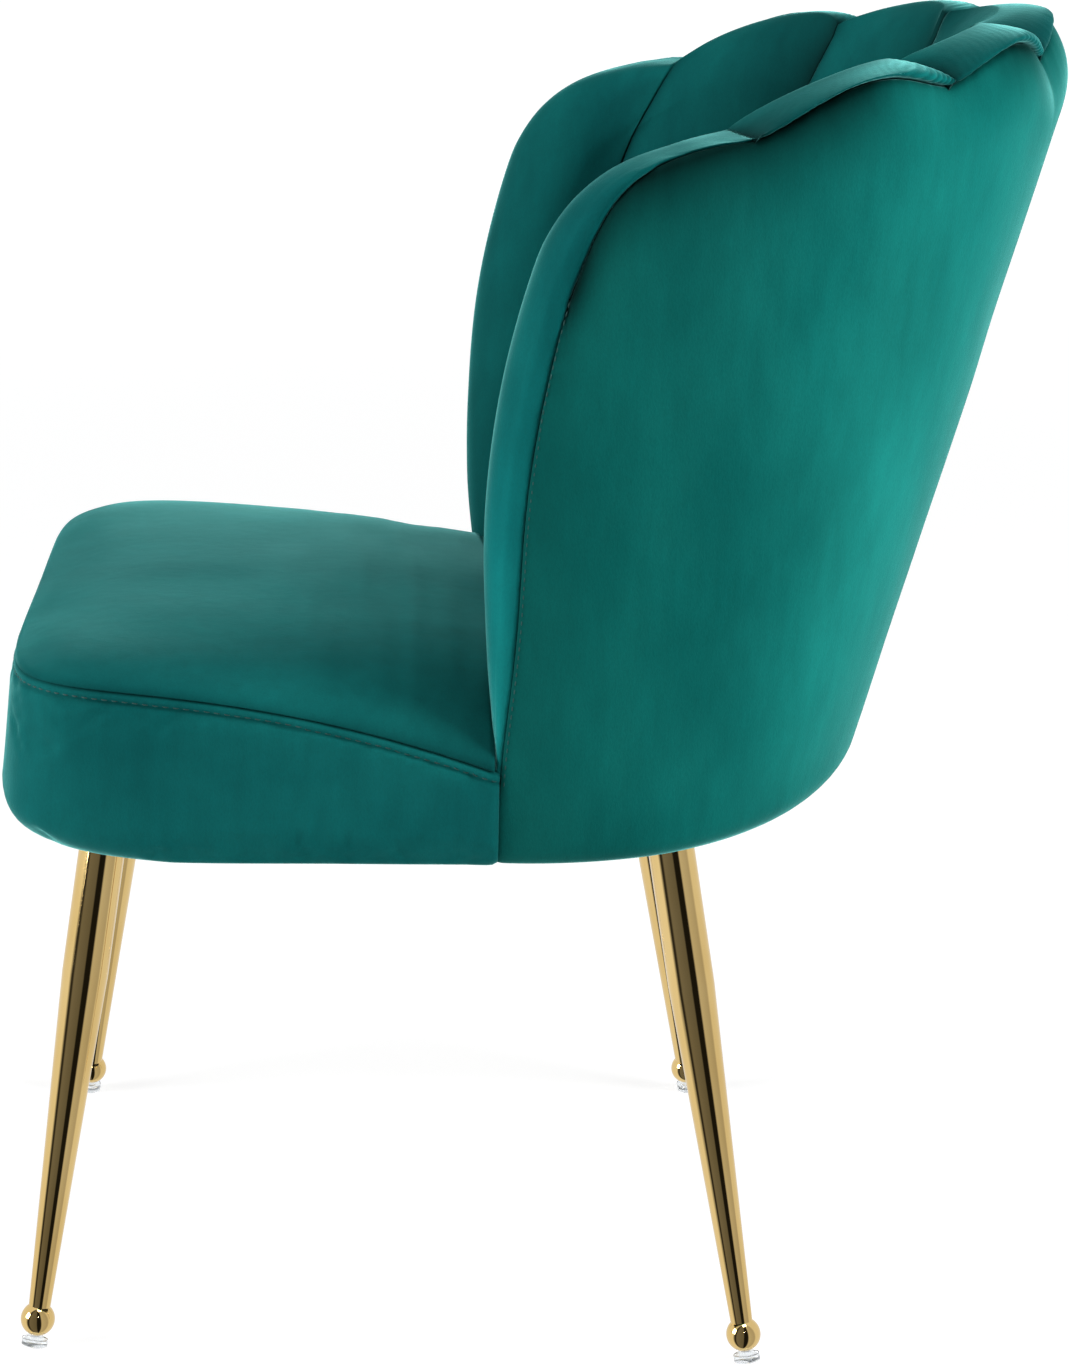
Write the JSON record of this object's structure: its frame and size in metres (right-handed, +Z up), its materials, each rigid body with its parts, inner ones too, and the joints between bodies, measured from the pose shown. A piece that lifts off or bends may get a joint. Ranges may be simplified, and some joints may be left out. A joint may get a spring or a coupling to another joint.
{
  "type": "dining chair",
  "caption": "Upholstered dining chair with a domed seat, a wrap-around channelled shell back with a scalloped rim, and splayed tapered metal legs on ball feet with levelling glides.",
  "frame": {"origin": "on the floor under the middle of the chair's bounding box", "axes": "+Z up, the sitter faces -Y, +X is the sitter's left"},
  "size_m": [0.519, 0.6719, 0.838],
  "materials": {
    "velvet": "short-pile velvet",
    "gold_metal": "polished gold plating",
    "clear_plastic": "clear gloss",
    "timber": "raw plywood",
    "foam": "upholstery foam",
    "black_fabric": "woven",
    "zinc_steel": "zinc plated"
  },
  "bodies": {
    "root": {"outer_back_cover": "velvet", "shell_board": "timber", "channel_left_wing": "velvet", "channel_left_outer": "velvet", "channel_left_inner": "velvet", "channel_centre": "velvet", "channel_right_inner": "velvet", "channel_right_outer": "velvet", "channel_right_wing": "velvet", "seat_cover": "velvet", "seat_cushion": "foam", "seat_core": "foam", "seat_border": "velvet", "webbing_long": "black_fabric", "webbing_cross": "black_fabric", "dust_cover": "black_fabric", "seat_rail_front": "timber", "seat_rail_rear": "timber", "seat_rail_left": "timber", "seat_rail_right": "timber", "corner_block_left": "timber", "corner_block_right": "timber", "shell_bolts": "zinc_steel", "plate_screws": "zinc_steel", "leg_plate_front_left": "gold_metal", "leg_plate_front_right": "gold_metal", "leg_plate_rear_left": "gold_metal", "leg_plate_rear_right": "gold_metal", "leg_front_left": "gold_metal", "leg_front_right": "gold_metal", "leg_rear_left": "gold_metal", "leg_rear_right": "gold_metal", "ball_foot_front_left": "gold_metal", "ball_foot_front_right": "gold_metal", "ball_foot_rear_left": "gold_metal", "ball_foot_rear_right": "gold_metal"},
    "glide_front_left_body": {"glide_front_left": "clear_plastic"},
    "glide_front_right_body": {"glide_front_right": "clear_plastic"},
    "glide_rear_left_body": {"glide_rear_left": "clear_plastic"},
    "glide_rear_right_body": {"glide_rear_right": "clear_plastic"}
  },
  "joints": [
    {"name": "glide_front_left_adjust", "type": "slide", "parent": "root", "child": "glide_front_left_body", "axis": [0.185, -0.1315, -0.9739], "range_m": [0, 0.006]},
    {"name": "glide_front_right_adjust", "type": "slide", "parent": "root", "child": "glide_front_right_body", "axis": [-0.185, -0.1315, -0.9739], "range_m": [0, 0.006]},
    {"name": "glide_rear_left_adjust", "type": "slide", "parent": "root", "child": "glide_rear_left_body", "axis": [0.1842, 0.1628, -0.9693], "range_m": [0, 0.006]},
    {"name": "glide_rear_right_adjust", "type": "slide", "parent": "root", "child": "glide_rear_right_body", "axis": [-0.1842, 0.1628, -0.9693], "range_m": [0, 0.006]}
  ]
}
